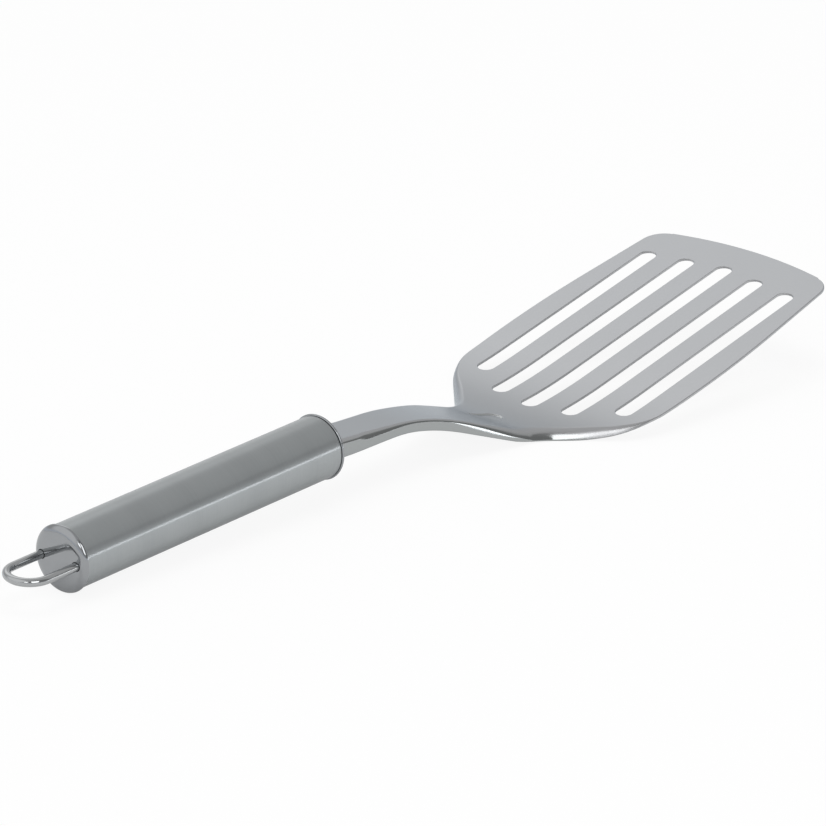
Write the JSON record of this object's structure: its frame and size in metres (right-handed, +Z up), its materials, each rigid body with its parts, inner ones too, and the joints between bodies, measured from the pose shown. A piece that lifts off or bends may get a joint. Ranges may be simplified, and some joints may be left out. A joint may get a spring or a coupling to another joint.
{
  "type": "slotted turner",
  "caption": "Long kitchen turner with a slotted sheet-steel blade, a bent and rimmed shank, a round capped tube handle and a wire loop to hang it by.",
  "frame": {"origin": "middle of the bounding box's base, on the surface that the turner lies on", "axes": "+X along the tool from its hanging loop to the tip of its blade, +Y across the blade, +Z up out of the surface"},
  "size_m": [0.3868, 0.0888, 0.0321],
  "materials": {
    "satin_sheet": "satin stainless steel sheet, polished on its turned-down rim",
    "brushed_tube": "finely brushed stainless steel",
    "polished_cap": "polished stainless steel",
    "polished_wire": "mirror-polished stainless steel wire",
    "weld_bead": "dull weld metal"
  },
  "bodies": {
    "root": {"turner_blade": "satin_sheet", "handle_tube": "brushed_tube", "front_cap": "polished_cap", "rear_cap": "polished_cap", "hanging_loop": "polished_wire", "tang_weld": "weld_bead", "loop_weld_left": "weld_bead", "loop_weld_right": "weld_bead"}
  },
  "joints": []
}
